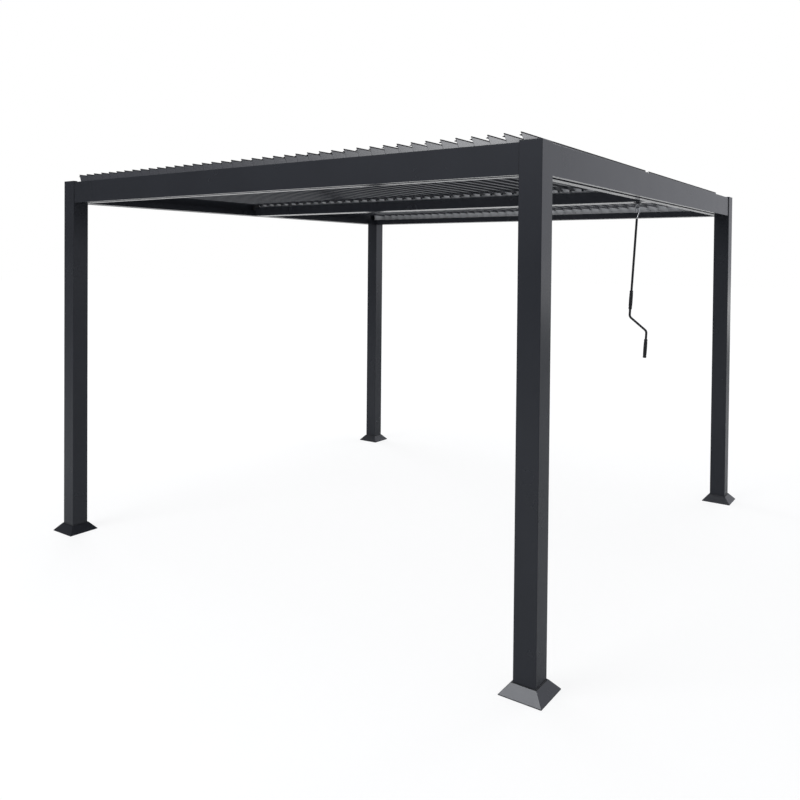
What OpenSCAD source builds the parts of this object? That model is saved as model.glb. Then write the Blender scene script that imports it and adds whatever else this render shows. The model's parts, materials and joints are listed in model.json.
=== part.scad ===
// Free-standing louvered pergola: four posts, four gutter beams, a middle beam and
// two banks of tilting roof louvers worked by a hanging crank handle.
// The origin lies on the ground at the middle of the plan, X runs along the front
// beam, Y runs from front to back and Z points up. All sizes are in millimetres.

/* [Overall] */
// Width over the outer faces of the posts, along X
overall_w = 3540; // [2700:10:4300]
// Depth over the outer faces of the posts, along Y
overall_d = 3540; // [2700:10:4300]
// Height of the post tops above the ground
post_top = 2400; // [2100:10:2900]

/* [Posts] */
// Side of the square post
post_w = 110; // [100:1:135]
// Wall of the post extrusion
post_wall = 2.5; // [2:0.1:4]
// Rounding of the post's upright edges
post_round = 3; // [1:0.5:4]
// Thickness of the flush cap on the post
cap_t = 3; // [2:0.5:5]

/* [Feet] */
// Thickness of the steel base plate under a post
plate_t = 6; // [4:1:10]
// Distance that the base plate stands out past the post
plate_out = 35; // [32:1:37]
// Radius of an anchor hole in the base plate
anchor_r = 6; // [4:0.5:7]
// Wall of the square socket that stands up inside the post
socket_wall = 3; // [2:0.5:5]
// Height of the socket above its plate
socket_h = 80; // [50:5:150]
// Distance that the foot cover stands out past the post at the ground
cover_out = 47; // [45:1:60]
// Height of the foot cover
cover_h = 50; // [45:1:65]
// Upright lip along the foot cover's bottom edge
cover_lip = 4; // [2:0.5:6]
// Width of the flat rim round the post at the top of the cover
cover_rim = 5; // [3:0.5:7]
// Wall of the foot cover
cover_wall = 3; // [2:0.5:4]

/* [Beams] */
// Height of the beams
beam_h = 140; // [125:1:180]
// Setback of a side beam's faces from the faces of the post
beam_setback = 5; // [2:1:8]
// Drop of the beam's top below the top of the post
beam_drop = 8; // [5:1:15]
// Width of the box along a beam's outer side
box_w = 24; // [20:1:30]
// Wall of the beam extrusions
beam_wall = 2.2; // [1.8:0.1:3]
// Height of the gutter lip on a side beam
lip_h = 45; // [30:1:60]
// Width of the middle beam over its two gutter lips
middle_w = 130; // [110:1:180]
// Height of the gutter lips on the middle beam
middle_lip_h = 70; // [50:1:76]
// Width of the box along the middle of the middle beam
middle_box_w = 30; // [28:1:40]
// Width of the channel along the underside of each side beam
channel_w = 30; // [20:1:40]
// Depth of that channel
channel_h = 10; // [6:1:14]

/* [Louvers] */
// Number of louvers along the roof
louver_count = 41; // [34:1:41]
// Length left beyond the first and the last pivot, both together
end_room = 182; // [150:1:200]
// Height of the pivots below the top of the beams
pivot_drop = 24; // [20:1:27]
// Amount by which a blade's long side falls short of the next pivot
blade_lap = 4.5; // [3:0.5:10]
// Length of the blade from the pivot to its lower edge
blade_down = 32; // [26:1:34]
// Thickness of the blade's sheet
blade_t = 1.6; // [1.2:0.1:2]
// Height of the blade's sheet above the pivot
blade_rise = 4; // [3.5:0.5:5]
// Drop of the drip fin below the sheet
fin_drop = 11; // [8:0.5:12]
// Distance of the drip fin from the raised edge
fin_in = 10; // [8:1:16]
// Height of the upturned lip along the lower edge
edge_lip = 9; // [6:0.5:10]
// Side of the square bead along the raised edge
bead_w = 4.5; // [3:0.5:6]
// Tilt of the blades as stored, 0 when flat and 90 when upright
tilt = 70; // [60:1:80]
// Radius of the pivot pins
pin_r = 4; // [3:0.5:5]
// Radial clearance of a pin in its hole
pin_gap = 0.3; // [0.2:0.05:0.5]
// Thickness of the pivot rails
rail_t = 4; // [3:0.5:6]
// Reach of the end caps past the pivot, towards the raised edge
cap_reach = 20; // [14:1:24]
// Gap between a blade's end and the rail at the outer beams
end_gap = 5; // [4:0.5:8]
// Gap between a blade's end and the rail at the middle beam, where the link bar runs
link_gap = 13; // [13:0.5:20]

/* [Link bars] */
// Distance from a pivot to its link pin
link_arm = 30; // [27:1:33]
// Height of the link bar
link_h = 16; // [14:1:18]
// Thickness of the link bar
link_t = 4; // [3:0.5:5]
// Radius of the link pins
link_pin_r = 3; // [2.5:0.5:4]

/* [Crank] */
// Distance of the crank from the inner face of the crank-side beam
crank_in = 68; // [55:1:120]
// Outer radius of the ring under the gearbox
ring_r = 17; // [15:0.5:20]
// Radius of the ring's and the hook's round bar
wire_r = 3.5; // [2.5:0.25:4]
// Radius of the crank's rod
rod_r = 7; // [5:0.5:8]
// Length of the rod from the ring down to its first bend
rod_upper = 669; // [550:1:800]
// Drop of the slanted stretch between the bends
rod_slant = 84; // [60:1:120]
// Sideways throw of the crank
crank_throw = 133; // [100:1:160]
// Length of the rod below its second bend
rod_lower = 167; // [150:1:220]
// Length of each turning grip
grip_l = 107; // [90:1:130]
// Outer radius of the grips
grip_r = 11.5; // [10:0.5:14]
// Distance from the upper grip to the first bend
grip_up = 50; // [30:1:80]
// Direction of the crank's throw, turned from +X towards +Y
crank_turned = 55; // [55:5:90]
// Direction of the ring's own plane, turned the same way
ring_turned = -10; // [-20:5:-10]
// Angle at which the handle hangs, set by its own balance
crank_lean = 4.1; // [0:0.1:8]

/* [Hidden] */
$fn = 48;
anthracite = "#3a3d42";
natural = "#b9bcc0";
steel = "#8f9296";
chrome = "#c9ccd0";
black = "#1c1d1f";

half_w = overall_w / 2;
half_d = overall_d / 2;
beam_w = post_w - 2 * beam_setback;
span_w = overall_w - 2 * post_w;
span_d = overall_d - 2 * post_w;
beam_top = post_top - beam_drop;
beam_z = beam_top - beam_h;

// places measured inwards from the post's outer face
inside_box = beam_setback + box_w;
inside_lip = beam_setback + beam_w;

// foot
anchor_half = post_w / 2 + plate_out / 2;
socket_gap = 0.3;
cover_gap = 0.3;

// gutter floor
floor_t = beam_wall + 0.3;
notch_clear = 2;

// louvers: the pivots stand off the middle, so that the closed roof is centred
louver_pitch = (overall_w - 2 * inside_box - end_room) / (louver_count - 1);
blade_up = louver_pitch - blade_lap;
pivot_shift = (blade_up - blade_down) / 2;
pivot_z = beam_top - pivot_drop;
outer_rail_y = half_d - inside_box - rail_t;
outer_end_y = outer_rail_y - end_gap;
middle_rail_y = middle_box_w / 2 + rail_t;
inner_end_y = middle_rail_y + link_gap;
end_cap_t = 4;
boss_r = pin_r + 2;
pin_into = rail_t - 0.5;
rail_margin = 4;
closed_tilt = 13;
open_tilt = 90;
// the link arm hangs straight down half-way between closed and open
arm_turn = tilt - (closed_tilt + open_tilt) / 2;
link_x = -link_arm * sin(arm_turn);
link_z = -link_arm * cos(arm_turn);
link_y = middle_rail_y + 4;
link_margin = 20;

// crank
crank_x = half_w - inside_lip - crank_in;
collar_r = 12;
shaft_r = 6;
collar_bottom = beam_z - 8;
shaft_in = 24;
ring_mid_r = ring_r - wire_r;
ring_z = collar_bottom - 1 - ring_r;
hang_z = ring_z - ring_mid_r;
hook_r = 11;
hook_gap = 0.8;
hook_leg = 22;
hook_neck = 4;
hook_l = 62;
hook_into = 12;
hook_bend_r = 10;
rod_bend_r = 25;
bend_swell = 0.15;
bend_seat = 1;
grip_gap = 0.5;
collar_t = 4;
lower_top = -rod_upper - rod_slant;
lower_end = lower_top - rod_lower;
upper_grip_z = -rod_upper + grip_up;
lower_grip_z = lower_end + collar_t + grip_gap;

function louver_name(i) = str("louver_", i < 10 ? "0" : "", i);
function louver_x(i) = pivot_shift + (i - (louver_count + 1) / 2) * louver_pitch;

// ---- posts ----

module rounded_square(w, r) {
    square([w, w - 2 * r], center = true);
    square([w - 2 * r, w], center = true);
    for (x = [-1, 1], y = [-1, 1])
        translate([x * (w / 2 - r), y * (w / 2 - r)]) circle(r);
}

// the post's head is cut away on its inner side, so that the gutters run into
// the post and the end louvers pass over it; the inner side is at +X +Y here
module head_notch() {
    side = post_w - inside_box + 1;
    translate([inside_box - post_w / 2, inside_box - post_w / 2]) square(side);
}

module post_at(sx, sy) {
    translate([sx * (half_w - post_w / 2), sy * (half_d - post_w / 2), 0])
        mirror([sx > 0 ? 1 : 0, 0, 0])
        mirror([0, sy > 0 ? 1 : 0, 0])
        children();
}

module post() {
    length = post_top - cap_t - plate_t;
    notch_z = beam_z + lip_h + notch_clear;
    difference() {
        translate([0, 0, plate_t]) linear_extrude(length) difference() {
            rounded_square(post_w, post_round);
            square(post_w - 2 * post_wall, center = true);
        }
        translate([0, 0, notch_z]) linear_extrude(post_top) head_notch();
    }
}

module front_posts() {
    color(anthracite) for (sx = [-1, 1]) post_at(sx, -1) post();
}

module back_posts() {
    color(anthracite) for (sx = [-1, 1]) post_at(sx, 1) post();
}

module post_cap() {
    translate([0, 0, post_top - cap_t]) linear_extrude(cap_t) difference() {
        rounded_square(post_w, post_round);
        head_notch();
    }
}

module post_caps() {
    color(anthracite) for (sx = [-1, 1], sy = [-1, 1]) post_at(sx, sy) post_cap();
}

// ---- feet ----

module base_plate() {
    socket_w = post_w - 2 * post_wall - 2 * socket_gap;
    difference() {
        union() {
            linear_extrude(plate_t) square(post_w + 2 * plate_out, center = true);
            linear_extrude(plate_t + socket_h) square(socket_w, center = true);
        }
        translate([0, 0, plate_t]) linear_extrude(socket_h + 1)
            square(socket_w - 2 * socket_wall, center = true);
        for (x = [-1, 1], y = [-1, 1])
            translate([x * anchor_half, y * anchor_half, -1]) cylinder(h = plate_t + 2, r = anchor_r);
    }
}

module base_plates() {
    color(steel) for (sx = [-1, 1], sy = [-1, 1]) post_at(sx, sy) base_plate();
}

// a low pyramid with an upright lip, as wide as two crossed prisms
module pyramid(bottom, top, lip, h) {
    module prism() rotate([90, 0, 0]) linear_extrude(4 * bottom, center = true) polygon([
        [-bottom, 0], [bottom, 0], [bottom, lip], [top, h], [-top, h], [-bottom, lip]
    ]);
    intersection() {
        prism();
        rotate([0, 0, 90]) prism();
    }
}

module foot_cover() {
    bottom = post_w / 2 + cover_out;
    top = post_w / 2 + cover_gap + cover_rim;
    hole = post_w + 2 * cover_gap;
    difference() {
        pyramid(bottom, top, cover_lip, cover_h);
        translate([0, 0, -cover_wall])
            pyramid(bottom - cover_wall, top - cover_wall / 2, cover_lip, cover_h);
        linear_extrude(cover_h + 1) square(hole, center = true);
    }
}

module foot_covers() {
    color(anthracite) for (sx = [-1, 1], sy = [-1, 1]) post_at(sx, sy) foot_cover();
}

// ---- beams ----

// sections lie in XY: X runs inwards from the beam's outer face, Y points up
module box_section(w, h) {
    difference() {
        square([w, h]);
        translate([beam_wall, beam_wall]) square([w - 2 * beam_wall, h - 2 * beam_wall]);
    }
}

// the gutter's floor is stepped up over a channel that is open downwards
module side_section() {
    step_at = box_w + channel_w;
    box_section(box_w, beam_h);
    translate([box_w, channel_h]) square([channel_w + floor_t, floor_t]);
    translate([step_at, 0]) square([floor_t, channel_h + floor_t]);
    translate([step_at, 0]) square([beam_w - step_at, floor_t]);
    translate([beam_w - floor_t, 0]) square([floor_t, lip_h]);
}

module along_x(length) {
    rotate([90, 0, 90]) linear_extrude(length, center = true) children();
}

module front_or_back_beam(turn) {
    color(anthracite) rotate([0, 0, turn])
        translate([0, beam_setback - half_d, beam_z]) along_x(span_w) side_section();
}

module left_or_right_beam(turn) {
    color(anthracite) rotate([0, 0, turn])
        translate([0, beam_setback - half_w, beam_z]) along_x(span_d) side_section();
}

module middle_box_section() {
    translate([-middle_box_w / 2, 0]) box_section(middle_box_w, beam_h);
}

module middle_section() {
    middle_box_section();
    for (side = [0, 1]) mirror([side, 0]) {
        translate([middle_box_w / 2, 0]) square([(middle_w - middle_box_w) / 2, floor_t]);
        translate([middle_w / 2 - floor_t, 0]) square([floor_t, middle_lip_h]);
    }
}

// the middle box reaches over the side gutters to the side beams' boxes
module middle_beam() {
    between_lips = 2 * (half_w - inside_lip);
    between_boxes = 2 * (half_w - inside_box);
    over_lip = lip_h + notch_clear;
    color(anthracite) translate([0, 0, beam_z]) difference() {
        union() {
            along_x(between_lips) middle_section();
            along_x(between_boxes) intersection() {
                middle_box_section();
                translate([-middle_w, over_lip]) square([2 * middle_w, beam_h]);
            }
        }
        translate([crank_x, 0, -1]) cylinder(h = beam_wall + 2, r = collar_r + pin_gap);
    }
}

// ---- pivot rails and link bars ----

module rail_section() {
    bottom = lip_h + notch_clear + rail_margin;
    translate([0, bottom]) square([rail_t, beam_h - bottom - rail_margin]);
}

module rail(y, side) {
    length = 2 * (half_w - inside_box);
    difference() {
        translate([0, y, beam_z]) mirror([0, side, 0]) along_x(length) rail_section();
        for (i = [1 : louver_count])
            translate([louver_x(i), y, pivot_z]) rotate([90, 0, 0])
                cylinder(h = 4 * rail_t, r = pin_r + pin_gap, center = true);
    }
}

module pivot_rails() {
    color(natural) {
        rail(-outer_rail_y, 1);
        rail(-middle_rail_y, 0);
        rail(middle_rail_y, 1);
        rail(outer_rail_y, 0);
    }
}

module link_bar(y) {
    first = louver_x(1) + link_x - link_margin;
    last = louver_x(louver_count) + link_x + link_margin;
    difference() {
        translate([first, y - link_t / 2, pivot_z + link_z - link_h / 2])
            cube([last - first, link_t, link_h]);
        for (i = [1 : louver_count])
            translate([louver_x(i) + link_x, y, pivot_z + link_z]) rotate([90, 0, 0])
                cylinder(h = 4 * link_t, r = link_pin_r + pin_gap, center = true);
    }
}

module link_bars() {
    color(steel) for (side = [-1, 1]) link_bar(side * (link_y + link_t / 2));
}

// ---- louvers ----

// the section of a flat blade about its pivot, raised edge at -X, top at +Y
module blade_section() {
    top = blade_rise + blade_t;
    polygon([
        [-blade_up, blade_rise],
        [-blade_up, top],
        [blade_down - blade_t, top],
        [blade_down - blade_t, top + edge_lip],
        [blade_down, top + edge_lip],
        [blade_down, blade_rise],
        [-blade_up + fin_in + blade_t, blade_rise],
        [-blade_up + fin_in + blade_t, blade_rise - fin_drop],
        [-blade_up + fin_in, blade_rise - fin_drop],
        [-blade_up + fin_in, blade_rise]
    ]);
    translate([-blade_up, blade_rise + (blade_t - bead_w) / 2]) square(bead_w);
    difference() {
        circle(boss_r);
        circle(pin_r);
    }
}

module end_cap_section() {
    circle(boss_r);
    translate([-cap_reach, -blade_t])
        square([cap_reach + blade_down, blade_rise + 2 * blade_t]);
    blade_section();
}

module lever_section() {
    circle(boss_r);
    rotate(tilt - arm_turn) {
        translate([-boss_r, -link_arm]) square([2 * boss_r, link_arm]);
        translate([0, -link_arm]) circle(boss_r);
    }
}

// extrudes a section from y0 to y1, tilted about the pivot
module blade_between(y0, y1) {
    translate([0, y1, 0]) rotate([90, 0, 0]) linear_extrude(y1 - y0) rotate(-tilt) children();
}

module pin_between(x, z, r, y0, y1) {
    translate([x, y1, z]) rotate([90, 0, 0]) cylinder(h = y1 - y0, r = r);
}

// one blade of the front bank, about the pivot axis
module blade() {
    blade_between(-outer_end_y, -inner_end_y) blade_section();
    blade_between(-outer_end_y, -outer_end_y + end_cap_t) end_cap_section();
    blade_between(-inner_end_y - end_cap_t, -inner_end_y) {
        end_cap_section();
        lever_section();
    }
    pin_between(0, 0, pin_r, -outer_rail_y - pin_into, -outer_end_y + end_cap_t);
    pin_between(0, 0, pin_r, -inner_end_y - end_cap_t, -middle_rail_y + pin_into);
    pin_between(link_x, link_z, link_pin_r, -inner_end_y - end_cap_t, -link_y + 2);
}

module louver(i) {
    color(anthracite) translate([louver_x(i), 0, pivot_z]) {
        blade();
        mirror([0, 1, 0]) blade();
    }
}

// ---- crank ----

module gearbox() {
    inner_w = middle_box_w - 2 * beam_wall;
    housing = [60, inner_w - 1, 70];
    color(black) translate([crank_x, 0, 0]) difference() {
        union() {
            translate([-housing.x / 2, -housing.y / 2, beam_z + beam_wall]) cube(housing);
            translate([0, 0, collar_bottom])
                cylinder(h = beam_z + beam_wall + 1 - collar_bottom, r = collar_r);
        }
        translate([0, 0, collar_bottom - 1]) cylinder(h = shaft_in + 2, r = shaft_r + pin_gap);
    }
}

// the handle swings about the bar at the bottom of the ring
module crank_eye() {
    shaft_bottom = ring_z + ring_mid_r;
    color(chrome) translate([crank_x, 0, 0]) {
        translate([0, 0, shaft_bottom])
            cylinder(h = collar_bottom + shaft_in - shaft_bottom, r = shaft_r);
        translate([0, 0, ring_z]) rotate([90, 0, ring_turned])
            rotate_extrude() translate([ring_mid_r, 0]) circle(wire_r);
    }
}

// hangs children from the ring: X along the throw, Z along the handle
module hung() {
    translate([crank_x, 0, hang_z]) rotate([0, 0, crank_turned]) rotate([0, crank_lean, 0])
        children();
}

function unit(v) = v / norm(v);
function heading(a, b) = atan2(b.y - a.y, b.x - a.x);
function turn_at(path, i) =
    let (turn = heading(path[i], path[i + 1]) - heading(path[i - 1], path[i]))
    turn > 180 ? turn - 360 : turn < -180 ? turn + 360 : turn;
// length that the bend at a corner takes off the straight stretches beside it
function trim_at(path, i, bend_r) = bend_r * tan(abs(turn_at(path, i)) / 2);

// a quarter, half or other part of a ring of round bar, a little thicker than the bar
module bend(angle, bend_r, r) {
    rotate_extrude(angle = angle) translate([bend_r, 0]) circle(r + bend_swell);
}

// a round bar through the corners of a path of [x, z] points, with a bend at each
module bent_bar(path, bend_r, r) {
    last = len(path) - 1;
    rotate([90, 0, 0]) {
        for (i = [0 : last - 1]) {
            along = unit(path[i + 1] - path[i]);
            a = path[i] + along * (i == 0 ? 0 : trim_at(path, i, bend_r) - bend_seat);
            b = path[i + 1] - along * (i == last - 1 ? 0 : trim_at(path, i + 1, bend_r) - bend_seat);
            translate(a) rotate([0, 90, heading(a, b)]) cylinder(h = norm(b - a), r = r);
        }
        for (i = [1 : last - 1]) {
            turn = turn_at(path, i);
            start = path[i] - unit(path[i] - path[i - 1]) * trim_at(path, i, bend_r);
            translate(start) rotate(heading(path[i - 1], path[i]))
                translate([0, sign(turn) * bend_r]) rotate(turn > 0 ? -90 : 90 + turn)
                bend(abs(turn), bend_r, r);
        }
    }
}

// a round bar bent over the ring, with one open end
module crank_hook() {
    crown_z = wire_r * 2 + hook_gap - hook_r;
    leg_z = crown_z - hook_leg;
    color(chrome) hung() {
        translate([0, 0, crown_z]) rotate([90, 0, 0]) bend(180, hook_r, wire_r);
        bent_bar([[-hook_r, crown_z + bend_seat], [-hook_r, leg_z]], hook_bend_r, wire_r);
        bent_bar(
            [[hook_r, crown_z + bend_seat], [hook_r, leg_z], [0, -hook_l + hook_neck],
             [0, -hook_l - hook_into]],
            hook_bend_r, wire_r
        );
    }
}

// a collar keeps each end of a grip from sliding along the rod
module grip_collars(x, z) {
    for (end = [z - collar_t - grip_gap, z + grip_l + grip_gap])
        translate([x, 0, end]) cylinder(h = collar_t, r = grip_r - 1);
}

module crank_rod() {
    color(black) hung() difference() {
        union() {
            bent_bar(
                [[0, -hook_l], [0, -rod_upper], [crank_throw, lower_top], [crank_throw, lower_end]],
                rod_bend_r, rod_r
            );
            grip_collars(0, upper_grip_z);
            grip_collars(crank_throw, lower_grip_z);
        }
        // the hook's shank is pressed into the top of the rod
        translate([0, 0, -hook_l - hook_into]) cylinder(h = hook_into + 1, r = wire_r);
    }
}

module grip(x, z) {
    color(black) hung() translate([x, 0, z]) difference() {
        cylinder(h = grip_l, r = grip_r);
        translate([0, 0, -1]) cylinder(h = grip_l + 2, r = rod_r + pin_gap);
    }
}

module upper_grip() { grip(0, upper_grip_z); }
module lower_grip() { grip(crank_throw, lower_grip_z); }

front_posts();
back_posts();
post_caps();
base_plates();
foot_covers();
front_or_back_beam(0);  // front_beam
front_or_back_beam(180);  // back_beam
left_or_right_beam(-90);  // left_beam
left_or_right_beam(90);  // right_beam
middle_beam();
pivot_rails();
link_bars();
gearbox();
crank_eye();
crank_hook();
crank_rod();
upper_grip();
lower_grip();
for (i = [1 : louver_count])
    louver(i);
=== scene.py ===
import json
import math

import bmesh
import bpy
from mathutils import Matrix, Vector

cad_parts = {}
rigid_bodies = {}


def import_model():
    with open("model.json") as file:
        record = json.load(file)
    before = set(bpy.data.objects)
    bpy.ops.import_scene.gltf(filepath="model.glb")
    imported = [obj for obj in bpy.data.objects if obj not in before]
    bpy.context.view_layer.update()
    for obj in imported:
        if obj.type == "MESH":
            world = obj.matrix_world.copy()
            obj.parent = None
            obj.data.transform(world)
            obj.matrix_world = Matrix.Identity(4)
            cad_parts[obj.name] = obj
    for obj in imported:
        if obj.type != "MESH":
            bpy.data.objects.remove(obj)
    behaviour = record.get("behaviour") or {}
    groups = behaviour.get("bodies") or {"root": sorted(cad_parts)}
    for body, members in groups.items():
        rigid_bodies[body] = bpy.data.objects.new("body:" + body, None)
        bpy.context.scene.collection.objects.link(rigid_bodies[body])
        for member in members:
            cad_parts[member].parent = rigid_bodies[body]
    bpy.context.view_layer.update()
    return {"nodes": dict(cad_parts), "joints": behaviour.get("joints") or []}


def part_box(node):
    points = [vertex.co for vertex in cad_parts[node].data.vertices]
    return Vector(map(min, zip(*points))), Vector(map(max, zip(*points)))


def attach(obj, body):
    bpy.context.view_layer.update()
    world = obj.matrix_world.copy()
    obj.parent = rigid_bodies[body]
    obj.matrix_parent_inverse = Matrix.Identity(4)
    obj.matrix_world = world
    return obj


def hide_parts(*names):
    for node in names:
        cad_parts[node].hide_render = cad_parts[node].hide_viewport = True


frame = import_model()
nodes = frame["nodes"]
scene = bpy.context.scene
scene.view_settings.view_transform = "Standard"


# ---------------------------------------------------------------- camera
# A wide lens at a standing person's eye height, some three metres out from the right-hand
# front post, so that post is near and the other three recede. The lens is shifted down,
# as on an architect's camera, which keeps the posts upright while the feet stay in view.

camera_at = Vector((3.1729, -4.8135, 1.8762))
camera_yaw = math.radians(125.486)
camera_pitch = math.radians(-0.971)
camera_roll = math.radians(0.506)
quarter_turn = math.pi / 2

camera_data = bpy.data.cameras.new("camera")
camera_data.sensor_width = 36
camera_data.lens = 35.063
camera_data.shift_x = 0.0086
camera_data.shift_y = -0.1573
camera = bpy.data.objects.new("camera", camera_data)

# a camera that hasn't been turned looks straight down
aim = (
    Matrix.Rotation(camera_yaw - quarter_turn, 4, "Z")
    @ Matrix.Rotation(camera_pitch + quarter_turn, 4, "X")
    @ Matrix.Rotation(camera_roll, 4, "Z")
)
camera.matrix_world = Matrix.Translation(camera_at) @ aim
scene.collection.objects.link(camera)
scene.camera = camera


# ---------------------------------------------------------------- studio
# A pale floor, a white cove behind the pergola, the dark end of the room in front of it, and
# four soft boxes: in front on the left, high up behind, overhead and far out on the left. The
# paint is dark, so most of what shows on it is their reflection.

studio_half = 60.0
room_dark = 0.16
cove_white = 0.8
cove_left_share = 0.62
cove_right_share = 1.2
board_white = 0.55
fill_light = 0.48


def feed(tree, value, socket):
    """Links another node's output to a socket, or sets the socket to a plain value."""
    if isinstance(value, bpy.types.NodeSocket):
        tree.links.new(value, socket)
    else:
        socket.default_value = value


def graded(tree, value, start, end, low=0.0, high=1.0, eased=False):
    """Runs from low to high as value goes from start to end, evenly or with eased ends."""
    grade = tree.nodes.new("ShaderNodeMapRange")
    if eased:
        grade.interpolation_type = "SMOOTHSTEP"
    grade.inputs["From Min"].default_value = start
    grade.inputs["From Max"].default_value = end
    grade.inputs["To Min"].default_value = low
    grade.inputs["To Max"].default_value = high
    tree.links.new(value, grade.inputs["Value"])
    return grade.outputs["Result"]


def worked(tree, operation, *values):
    """Works out one sum from numbers or other nodes' outputs."""
    sum_node = tree.nodes.new("ShaderNodeMath")
    sum_node.operation = operation
    for value, socket in zip(values, sum_node.inputs):
        feed(tree, value, socket)
    return sum_node.outputs[0]


def mixed(tree, share, first, second, kind="RGBA", blend="MIX"):
    """Goes from the first colour or number to the second as share goes from 0 to 1."""
    mix = tree.nodes.new("ShaderNodeMix")
    mix.data_type = kind
    mix.blend_type = blend
    for name, value in (("Factor", share), ("A", first), ("B", second)):
        feed(tree, value, mix.inputs[name])
    return mix.outputs["Result"]


def either_surface(tree, share, first, second):
    """Goes from the first shader to the second as share goes from 0 to 1."""
    mix = tree.nodes.new("ShaderNodeMixShader")
    for value, socket in zip((share, first.outputs[0], second.outputs[0]), mix.inputs):
        tree.links.new(value, socket)
    return mix.outputs[0]


world = bpy.data.worlds.new("studio air")
world.use_nodes = True
scene.world = world
air = world.node_tree
air.nodes.clear()

# in reflections the cove is white behind the pergola, more so to the right, and dark in front
towards = air.nodes.new("ShaderNodeTexCoord")
split = air.nodes.new("ShaderNodeSeparateXYZ")
air.links.new(towards.outputs["Generated"], split.inputs["Vector"])
rightward, backward, upward = (split.outputs[axis] for axis in "XYZ")
cove = worked(
    air,
    "MULTIPLY",
    graded(air, backward, -0.5, 0.75, room_dark, cove_white, eased=True),
    graded(air, rightward, 0.1, 0.45, cove_left_share, cove_right_share),
)

# a dim bounce board stands at the dark end, above the horizon
frontward = worked(air, "MULTIPLY", backward, -1.0)
board = graded(air, frontward, 0.5, 0.92, 0.0, board_white, eased=True)
board_edge = graded(air, upward, -0.02, 0.14, eased=True)
mirrored_room = worked(air, "MULTIPLY_ADD", board, board_edge, cove)

# to the eye it is white all the way round
air_path = air.nodes.new("ShaderNodeLightPath")
to_eye = air_path.outputs["Is Camera Ray"]
air_seen = air.nodes.new("ShaderNodeBackground")
cove_tint = mixed(air, to_eye, (0.93, 0.94, 1.0, 1.0), (1.0, 1.0, 1.0, 1.0))
feed(air, cove_tint, air_seen.inputs["Color"])
feed(air, worked(air, "MAXIMUM", mirrored_room, to_eye), air_seen.inputs["Strength"])

# what lights the pergola from all round is one dim, even fill
air_lit = air.nodes.new("ShaderNodeBackground")
air_lit.inputs["Color"].default_value = (0.93, 0.96, 1.0, 1.0)
air_lit.inputs["Strength"].default_value = fill_light
eye_or_gloss = worked(air, "MAXIMUM", to_eye, air_path.outputs["Is Glossy Ray"])
air_shown = worked(air, "MAXIMUM", eye_or_gloss, air_path.outputs["Is Transmission Ray"])
air_out = air.nodes.new("ShaderNodeOutputWorld")
feed(air, either_surface(air, air_shown, air_lit, air_seen), air_out.inputs["Surface"])

# the floor is a pale grey that takes the shadow, and glows to the eye up to white; it glows
# more where the soft boxes no longer reach
floor_eye_glow = 0.6
floor_gloss_glow = 0.74
floor_glow_near = 1.36
floor_glow_far = 1.55
floor_paint = bpy.data.materials.new("studio floor")
floor_paint.use_nodes = True
tree = floor_paint.node_tree
tree.nodes.clear()
floor_lit = tree.nodes.new("ShaderNodeBsdfDiffuse")
floor_lit.inputs["Color"].default_value = (0.55, 0.555, 0.565, 1.0)
floor_glow = tree.nodes.new("ShaderNodeEmission")
floor_glow.inputs["Color"].default_value = (1.0, 1.0, 1.0, 1.0)
floor_place = tree.nodes.new("ShaderNodeTexCoord").outputs["Object"]
floor_distance = tree.nodes.new("ShaderNodeVectorMath")
floor_distance.operation = "LENGTH"
tree.links.new(floor_place, floor_distance.inputs[0])
feed(
    tree,
    graded(tree, floor_distance.outputs["Value"], 3.0, 14.0, floor_glow_near, floor_glow_far, eased=True),
    floor_glow.inputs["Strength"],
)

# paint that faces down mirrors the lit floor far behind on the left
floor_behind = tree.nodes.new("ShaderNodeVectorMath")
floor_behind.operation = "DOT_PRODUCT"
floor_behind.inputs[1].default_value = (-0.8, 1.0, 0.0)
tree.links.new(floor_place, floor_behind.inputs[0])
floor_far = graded(tree, floor_behind.outputs["Value"], 8.0, 20.0, 0.0, floor_gloss_glow, eased=True)
floor_path = tree.nodes.new("ShaderNodeLightPath")
floor_shown = worked(
    tree,
    "MAXIMUM",
    worked(tree, "MULTIPLY", floor_path.outputs["Is Camera Ray"], floor_eye_glow),
    worked(tree, "MULTIPLY", floor_far, floor_path.outputs["Is Glossy Ray"]),
)
floor_out = tree.nodes.new("ShaderNodeOutputMaterial")
feed(tree, either_surface(tree, floor_shown, floor_lit, floor_glow), floor_out.inputs["Surface"])

floor_mesh = bpy.data.meshes.new("studio_floor")
floor_mesh.from_pydata(
    [(x * studio_half, y * studio_half, 0.0) for x, y in ((-1, -1), (1, -1), (1, 1), (-1, 1))],
    [],
    [(0, 1, 2, 3)],
)
floor = bpy.data.objects.new("studio_floor", floor_mesh)
floor_mesh.materials.append(floor_paint)
scene.collection.objects.link(floor)


def soft_box(name, at, look_at, width, height, power):
    """Hangs a rectangular lamp that the camera doesn't see and points it at a spot."""
    lamp = bpy.data.lights.new(name, "AREA")
    lamp.shape = "RECTANGLE"
    lamp.size = width
    lamp.size_y = height
    lamp.energy = power
    box = bpy.data.objects.new(name, lamp)
    box.location = at
    box.rotation_euler = (Vector(look_at) - Vector(at)).to_track_quat("-Z", "Y").to_euler()
    box.visible_camera = False
    scene.collection.objects.link(box)


soft_box("front_soft_box", (-2.1, -7.2, 7.6), (1.2, -0.8, 0.5), width=4.0, height=3.0, power=260)
soft_box("back_soft_box", (2.6, 8.0, 8.3), (0.4, 0.0, 2.2), width=5.5, height=3.5, power=150)
soft_box("ceiling_soft_box", (0.0, 0.4, 9.5), (0.0, 0.4, 0.0), width=5.0, height=5.0, power=170)
soft_box("left_soft_box", (-8.5, 3.0, 6.5), (-0.5, 0.0, 2.0), width=5.0, height=4.0, power=300)


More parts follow.
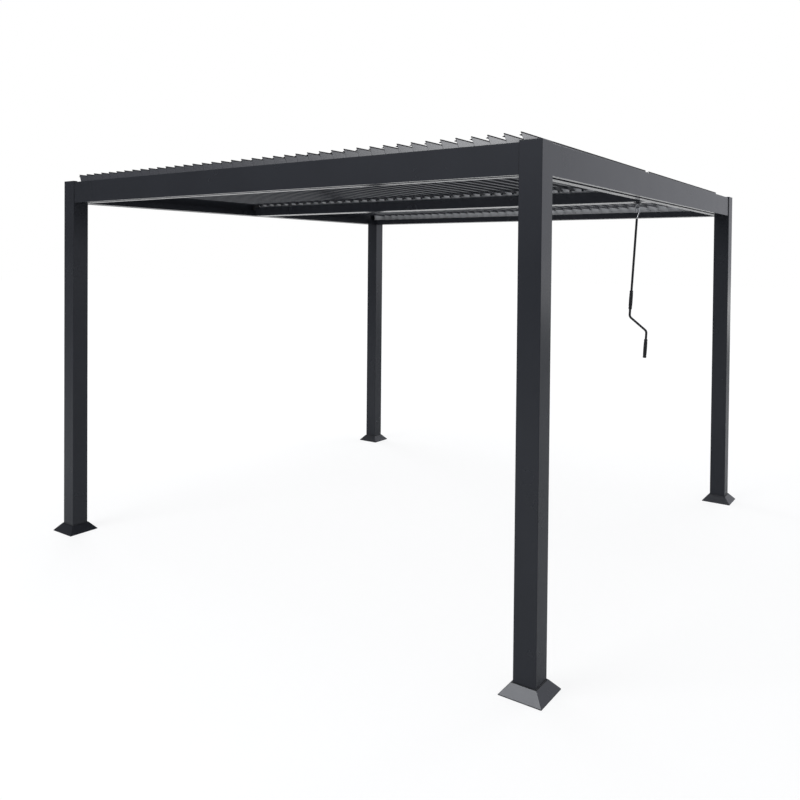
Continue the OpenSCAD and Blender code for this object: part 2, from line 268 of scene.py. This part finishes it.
# ---------------------------------------------------------------- feet
# Each post stands on a galvanised steel plate with a welded socket and four anchor holes.
# A loose pyramid cover, folded from sheet and coated like the frame, slides down the post
# over the plate and hides the anchors.


def paint(node, material):
    """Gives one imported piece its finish."""
    mesh = nodes[node].data
    mesh.materials.clear()
    mesh.materials.append(material)


def new_finish(name):
    """Starts a material, and gives its node tree, its shader and the place on the piece."""
    material = bpy.data.materials.new(name)
    material.use_nodes = True
    tree = material.node_tree
    place = tree.nodes.new("ShaderNodeTexCoord").outputs["Object"]
    return material, tree, tree.nodes["Principled BSDF"], place


def mottling(tree, place, scale, detail):
    """Makes soft irregular patches, as many to the metre as the scale says."""
    noise = tree.nodes.new("ShaderNodeTexNoise")
    noise.inputs["Scale"].default_value = scale
    noise.inputs["Detail"].default_value = detail
    tree.links.new(place, noise.inputs["Vector"])
    return noise.outputs["Fac"]


def shade(colour, share):
    return [part * share for part in colour]


def coloured(tree, value, dark, light, start=0.0, end=1.0):
    """Goes from a dark colour to a light one as value goes from start to end."""
    ramp = tree.nodes.new("ShaderNodeValToRGB")
    first, last = ramp.color_ramp.elements
    first.position = start
    first.color = [*dark, 1.0]
    last.position = end
    last.color = [*light, 1.0]
    tree.links.new(value, ramp.inputs["Fac"])
    return ramp.outputs["Color"]


def raised(tree, height, strength, distance):
    """Lets fine texture stand up from the surface."""
    relief = tree.nodes.new("ShaderNodeBump")
    relief.inputs["Strength"].default_value = strength
    relief.inputs["Distance"].default_value = distance
    tree.links.new(height, relief.inputs["Height"])
    return relief


def powder_coat(name, colour, roughness, grain, edge=0.0012):
    """A fine-textured polyester powder: dark resin, a faint orange peel, a soft sheen."""
    material, tree, shader, place = new_finish(name)
    shader.inputs["IOR"].default_value = 1.5
    shader.inputs["Specular Tint"].default_value = (0.93, 0.95, 1.0, 1.0)

    # the resin is a little lighter where it pooled thin, over hand-sized patches, and single
    # grains of the texture read as fine darker and lighter specks
    cloud = mottling(tree, place, scale=2.2, detail=3.0)
    resin = coloured(tree, cloud, shade(colour, 0.93), shade(colour, 1.07), 0.35, 0.65)
    speck = mottling(tree, place, scale=grain, detail=2.0)
    speckled = mixed(tree, 1.0, resin, graded(tree, speck, 0.0, 1.0, 0.9, 1.1), blend="MULTIPLY")
    feed(tree, speckled, shader.inputs["Base Color"])

    # handling leaves the sheen uneven
    rub = mottling(tree, place, scale=7.0, detail=4.0)
    sheen = graded(tree, rub, 0.0, 1.0, roughness - 0.04, roughness + 0.04)
    feed(tree, sheen, shader.inputs["Roughness"])

    # the coat rounds every edge and carries the grain as relief
    rounded = tree.nodes.new("ShaderNodeBevel")
    rounded.samples = 4
    rounded.inputs["Radius"].default_value = edge
    peel = raised(tree, speck, strength=0.12, distance=0.0002)
    tree.links.new(rounded.outputs["Normal"], peel.inputs["Normal"])
    tree.links.new(peel.outputs["Normal"], shader.inputs["Normal"])
    return material


anthracite = (0.024, 0.026, 0.032)
frame_coat = powder_coat("anthracite coat", anthracite, roughness=0.26, grain=900.0)
paint("foot_covers", frame_coat)


def join_rings(mesh, rings, closed):
    """Skins a row of rings; a closed row runs on to its first ring, an open one is capped."""
    count = len(rings[0])
    for here, there in zip(rings, rings[1:] + rings[:1] if closed else rings[1:]):
        for i in range(count):
            j = (i + 1) % count
            # on the axis of a turned piece two corners fall in one point
            corners = []
            for corner in (here[i], there[i], there[j], here[j]):
                if all((corner.co - other.co).length > 1e-7 for other in corners):
                    corners.append(corner)
            if len(corners) > 2:
                mesh.faces.new(corners)
    if not closed:
        mesh.faces.new(rings[0])
        mesh.faces.new(rings[-1])


def piece(name, mesh, material, body="frame"):
    """Turns a finished bmesh into a piece that rides on one body."""
    bmesh.ops.recalc_face_normals(mesh, faces=mesh.faces)
    data = bpy.data.meshes.new(name)
    mesh.to_mesh(data)
    mesh.free()
    data.materials.append(material)
    made = bpy.data.objects.new(name, data)
    scene.collection.objects.link(made)
    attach(made, body)
    return made


# a black rubber gasket closes the gap between cover and post
rubber = powder_coat("black rubber", (0.010, 0.010, 0.011), roughness=0.6, grain=500.0, edge=0.0005)
post_side = 0.110
post_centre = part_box("front_posts")[1].x - post_side / 2
cover_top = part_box("foot_covers")[1].z
gasket_section = [(0.0003, 0.0), (0.0034, 0.0), (0.0030, 0.0016), (0.0016, 0.0024), (0.0003, 0.0030)]
corner_signs = ((-1, -1), (1, -1), (1, 1), (-1, 1))
gaskets = bmesh.new()
for post_x, post_y in corner_signs:
    rings = [
        [
            gaskets.verts.new((
                post_x * post_centre + side_x * (post_side / 2 + out),
                post_y * post_centre + side_y * (post_side / 2 + out),
                cover_top + up,
            ))
            for out, up in gasket_section
        ]
        for side_x, side_y in corner_signs
    ]
    join_rings(gaskets, rings, closed=True)
piece("foot_gaskets", gaskets, rubber)


def zinc(name):
    """Hot-dip galvanising: grey spangles, each a little lighter or duller than the next."""
    material, tree, shader, place = new_finish(name)
    shader.inputs["Metallic"].default_value = 1.0
    spangle = tree.nodes.new("ShaderNodeTexVoronoi")
    spangle.inputs["Scale"].default_value = 140.0
    tree.links.new(place, spangle.inputs["Vector"])
    grey = spangle.outputs["Color"]
    feed(tree, coloured(tree, grey, (0.26, 0.27, 0.29), (0.46, 0.47, 0.49)), shader.inputs["Base Color"])
    feed(tree, graded(tree, grey, 0.0, 1.0, 0.38, 0.58), shader.inputs["Roughness"])
    return material


paint("base_plates", zinc("galvanised steel"))


# ---------------------------------------------------------------- posts
# Square aluminium tubes with a small radius on their edges, coated anthracite. They drop
# over the sockets of the base plates, and a flush cap closes each head.

for node in ("front_posts", "back_posts", "post_caps"):
    paint(node, frame_coat)


# ---------------------------------------------------------------- side beams
# One extrusion on each side, cut to fit between the posts and bolted to them from inside.
# Its outer side is a box and its inner side an open gutter that drains into the posts.

side_beams = {
    "front_beam": Vector((0, -1, 0)),
    "back_beam": Vector((0, 1, 0)),
    "left_beam": Vector((-1, 0, 0)),
    "right_beam": Vector((1, 0, 0)),
}
for node in side_beams:
    paint(node, frame_coat)

# a thin bead of black sealant runs down the outside of each beam end, against the post, and
# in under the beam
sealed_under = 0.049
bead_section = [(0.0, 0.0), (0.0022, 0.0), (0.0017, 0.0006), (0.0009, 0.0009), (0.0, 0.0010)]
down = Vector((0, 0, -1))
beads = bmesh.new()
for node, out in side_beams.items():
    low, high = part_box(node)
    along = Vector((abs(out.y), abs(out.x), 0.0))
    face = max(low.dot(out), high.dot(out))
    for sign in (-1, 1):
        end = sign * high.dot(along)
        turns = (
            (face, high.z, out),
            (face, low.z, out + down),
            (face - sealed_under, low.z, down),
        )
        rings = [
            [
                beads.verts.new(out * reach - down * level + along * (end - sign * back) + proud * lift)
                for back, lift in bead_section
            ]
            for reach, level, proud in turns
        ]
        join_rings(beads, rings, closed=False)
piece("joint_sealant", beads, rubber)


# ---------------------------------------------------------------- middle beam
# A double gutter with a box along its middle, hung between the left and right beams. It
# carries the inner ends of both banks of louvers and holds the drive.

paint("middle_beam", frame_coat)

# a soft rubber ridge stands on its box and closes the gap between the two banks of louvers
ridge_setback = 0.016
ridge_half = [
    (0.0130, 0.0), (0.0130, 0.0020), (0.0060, 0.0045), (0.0026, 0.0120), (0.0018, 0.0300), (0.0012, 0.0440),
]
ridge_section = ridge_half + [(-y, z) for y, z in reversed(ridge_half)]
box_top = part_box("middle_beam")[1].z
ridge = bmesh.new()
ridge_ends = [
    [ridge.verts.new((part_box(end)[0].x + ridge_setback, y, box_top + z)) for y, z in ridge_section]
    for end in ("louver_01", "louver_41")
]
join_rings(ridge, ridge_ends, closed=False)
piece("ridge_seal", ridge, rubber)


# ---------------------------------------------------------------- pivot rails
# Flat strips of natural anodised aluminium, drilled for the louver pins and screwed to the
# sides of the beams above the gutters.


def bare_aluminium(name, colour, roughness, along):
    """Drawn aluminium, etched matt before anodising, with fine die lines along one axis."""
    material, tree, shader, place = new_finish(name)
    shader.inputs["Metallic"].default_value = 0.45
    stretch = tree.nodes.new("ShaderNodeMapping")
    stretch.inputs["Scale"].default_value = [4.0 if axis == along else 900.0 for axis in "XYZ"]
    tree.links.new(place, stretch.inputs["Vector"])
    lines = mottling(tree, stretch.outputs["Vector"], scale=1.0, detail=3.0)
    drawn = coloured(tree, lines, shade(colour, 0.9), shade(colour, 1.06), 0.3, 0.7)
    feed(tree, drawn, shader.inputs["Base Color"])
    feed(tree, graded(tree, lines, 0.0, 1.0, roughness - 0.06, roughness + 0.06), shader.inputs["Roughness"])
    feed(tree, raised(tree, lines, strength=0.15, distance=0.0001).outputs["Normal"], shader.inputs["Normal"])
    return material


rail_metal = bare_aluminium("natural aluminium", (0.72, 0.73, 0.75), roughness=0.38, along="X")
paint("pivot_rails", rail_metal)


def turned(mesh, profile, centre, axis, steps=24):
    """Turns a closed profile of (radius, height) points about an axis through centre."""
    axis = Vector(axis)
    across = axis.orthogonal().normalized()
    beside = axis.cross(across)
    rings = []
    for k in range(steps):
        angle = 2 * math.pi * k / steps
        out = across * math.cos(angle) + beside * math.sin(angle)
        rings.append([mesh.verts.new(Vector(centre) + out * r + axis * h) for r, h in profile])
    join_rings(mesh, rings, closed=True)
    bmesh.ops.remove_doubles(mesh, verts=[v for ring in rings for v in ring], dist=1e-7)


# a nylon bush lines every hole and stands a little proud, towards the louver
tilts = {
    joint["child"]: Vector(joint["pos_m"]) for joint in frame["joints"] if joint["name"].endswith("_tilt")
}
pivots = [tilts[name] for name in sorted(tilts)]
rail_outer = 1.737
rail_inner = 0.019
rail_faces = ((-rail_outer, 1), (rail_outer, -1), (-rail_inner, -1), (rail_inner, 1))
black_nylon = powder_coat("black nylon", (0.012, 0.012, 0.013), roughness=0.5, grain=1100.0, edge=0.0006)
bush_profile = [(0.0043, 0.0), (0.0072, 0.0), (0.0072, 0.0009), (0.0068, 0.0013), (0.0043, 0.0013)]
bushes = bmesh.new()
for face_y, toward in rail_faces:
    for pivot in pivots:
        turned(bushes, bush_profile, (pivot.x, face_y, pivot.z), (0, toward, 0), 20)
piece("pivot_bushes", bushes, black_nylon)

# where the middle beam's rails run out over the side gutters, a moulded cover closes their ends
end_cover_from = 1.6585
end_cover_length = 0.082
end_cover_height = 0.088
end_cover_corner = 0.004
end_cover_hang = 0.0015
end_cover_steps = ((0.0, 0.0001), (0.0, 0.0012), (0.0012, 0.0020))
end_cover_outline = [
    (0.0, end_cover_corner),
    (end_cover_corner, 0.0),
    (end_cover_length, 0.0),
    (end_cover_length, end_cover_height),
    (end_cover_corner, end_cover_height),
    (0.0, end_cover_height - end_cover_corner),
]
rail_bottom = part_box("pivot_rails")[0].z
rail_covers = bmesh.new()
for side_x, side_y in ((-1, -1), (-1, 1), (1, -1), (1, 1)):
    rings = [
        [
            rail_covers.verts.new((
                side_x * (end_cover_from + min(max(along, inset), end_cover_length - inset)),
                side_y * (rail_inner + stand),
                rail_bottom - end_cover_hang + min(max(up, inset), end_cover_height - inset),
            ))
            for along, up in end_cover_outline
        ]
        for inset, stand in end_cover_steps
    ]
    join_rings(rail_covers, rings, closed=False)
piece("rail_end_covers", rail_covers, black_nylon)

# pan-head screws hold the rails, one between every fourth pair of pins
screw_steel = zinc("zinc-plated screw")
screw_above_edge = 0.012
head_profile = [
    (0.0, 0.0), (0.0042, 0.0), (0.0042, 0.0006), (0.0037, 0.0015), (0.0026, 0.0021), (0.0012, 0.0023),
    (0.0, 0.0023),
]
screws = bmesh.new()
for face_y, toward in rail_faces:
    for left, right in list(zip(pivots, pivots[1:]))[1::4]:
        spot = ((left.x + right.x) / 2, face_y, rail_bottom + screw_above_edge)
        turned(screws, head_profile, spot, (0, toward, 0), 16)
piece("rail_screws", screws, screw_steel)


# ---------------------------------------------------------------- louvers
# Thin aluminium extrusions in two banks, coated like the frame but smoother. Each pair, front
# and back, turns on pins in the rails; the raised edge has a drip fin under it.

louver_coat = powder_coat("louver coat", (0.028, 0.030, 0.037), roughness=0.20, grain=1400.0, edge=0.0005)

# a black, dull band is painted along the top of each louver's raised edge, over the bead, above a fixed
# height on the piece
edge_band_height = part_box("louver_01")[1].z - 0.0055
edge_band_fade = 0.0003
edge_band_black = (0.008, 0.008, 0.009, 1.0)
edge_band_roughness = 0.75
tree = louver_coat.node_tree
shader = tree.nodes["Principled BSDF"]
lip_height = tree.nodes.new("ShaderNodeSeparateXYZ")
tree.links.new(tree.nodes.new("ShaderNodeTexCoord").outputs["Object"], lip_height.inputs["Vector"])
# above that height the louver coat turns black and dull
edge_band_share = graded(tree, lip_height.outputs["Z"], edge_band_height - edge_band_fade, edge_band_height + edge_band_fade)
coat_colour = shader.inputs["Base Color"].links[0].from_socket
coat_sheen = shader.inputs["Roughness"].links[0].from_socket
feed(tree, mixed(tree, edge_band_share, coat_colour, edge_band_black), shader.inputs["Base Color"])
feed(tree, mixed(tree, edge_band_share, coat_sheen, edge_band_roughness, kind="FLOAT"), shader.inputs["Roughness"])
for node in sorted(tilts):
    paint(node, louver_coat)


# ---------------------------------------------------------------- link bars
# Two flat aluminium bars beside the middle beam, pinned to an arm on every louver, so that
# all of them tilt together.

paint("link_bars", rail_metal)

# a push-on washer keeps the bar on each link pin
washer_face = 0.0228
washer_profile = [(0.0031, 0.0), (0.0058, 0.0), (0.0058, 0.0007), (0.0050, 0.0010), (0.0031, 0.0010)]
link = next(joint for joint in frame["joints"] if joint["child"] == "link_bars")
arm = Vector(link["pos_m"]) - tilts[link["parent"]]
for name in sorted(tilts):
    washers = bmesh.new()
    pin = tilts[name] + arm
    for side in (-1, 1):
        turned(washers, washer_profile, (pin.x, side * washer_face, pin.z), (0, -side, 0), 16)
    piece("link_washer_" + name[-2:], washers, screw_steel, name)


# ---------------------------------------------------------------- drive
# A worm gearbox sits inside the middle beam; only its black outlet collar shows below. A
# chromed ring on its shaft takes the crank's hook.


def chrome(name):
    """Bright plating over polished steel, with a faint haze from handling."""
    material, tree, shader, place = new_finish(name)
    shader.inputs["Metallic"].default_value = 1.0
    shader.inputs["Base Color"].default_value = (0.62, 0.63, 0.65, 1.0)
    haze = mottling(tree, place, scale=160.0, detail=3.0)
    feed(tree, graded(tree, haze, 0.0, 1.0, 0.06, 0.2), shader.inputs["Roughness"])
    return material


bright_chrome = chrome("bright chrome")
paint("crank_eye", bright_chrome)
paint("gearbox", black_nylon)

# a moulded flange round the outlet, held by three screws, covers the hole in the beam
eye_at = Vector(next(joint["pos_m"] for joint in frame["joints"] if joint["name"] == "crank_turn"))
beam_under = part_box("middle_beam")[0].z
flange_profile = [
    (0.0124, 0.0), (0.0235, 0.0), (0.0235, 0.0012), (0.0222, 0.0026), (0.0150, 0.0034), (0.0124, 0.0034),
]
flange = bmesh.new()
turned(flange, flange_profile, (eye_at.x, eye_at.y, beam_under), (0, 0, -1), 40)
piece("outlet_flange", flange, black_nylon)

flange_screw_circle = 0.0187
flange_screw_seat = 0.0026
flange_screw_profile = [(r * 0.62, h * 0.7) for r, h in head_profile]
flange_screws = bmesh.new()
for degrees in (30, 150, 270):
    angle = math.radians(degrees)
    spot = (
        eye_at.x + flange_screw_circle * math.cos(angle),
        eye_at.y + flange_screw_circle * math.sin(angle),
        beam_under - flange_screw_seat,
    )
    turned(flange_screws, flange_screw_profile, spot, (0, 0, -1), 16)
piece("flange_screws", flange_screws, screw_steel)


# ---------------------------------------------------------------- crank handle
# A steel rod, cranked near its lower end and coated black, hangs from the ring by a chromed
# hook. Two black grips turn freely on it between collars.

paint("crank_hook", bright_chrome)
rod_coat = powder_coat("black coat", (0.010, 0.010, 0.011), roughness=0.3, grain=1200.0, edge=0.0006)
paint("crank_rod", rod_coat)


def grip_radius(along):
    """Outer radius at a share of the grip's length: a low barrel between two end beads."""
    end = min(along, 1 - along)
    bead = 0.0012 * math.exp(-((end - 0.035) / 0.016) ** 2)
    neck = -0.0009 * math.exp(-((end - 0.085) / 0.022) ** 2)
    barrel = 0.0102 + 0.0011 * math.sin(math.pi * along)
    edge = -0.0012 * max(0.0, 1 - end / 0.012) ** 2
    return barrel + bead + neck + edge


grip_length = 0.107
grip_bore = 0.0073
grip_steps = 64
grip_shares = [k / grip_steps for k in range(grip_steps + 1)]
grip_profile = [(grip_radius(share), (share - 0.5) * grip_length) for share in grip_shares]
grip_profile += [(grip_bore, grip_length / 2), (grip_bore, -grip_length / 2)]
for node in ("upper_grip", "lower_grip"):
    spin = next(joint for joint in frame["joints"] if joint["child"] == node)
    grip = bmesh.new()
    turned(grip, grip_profile, spin["pos_m"], Vector(spin["axis"]).normalized(), 40)
    made = piece(node + "_shell", grip, black_nylon, node)
    for face in made.data.polygons:
        face.use_smooth = True
    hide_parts(node)
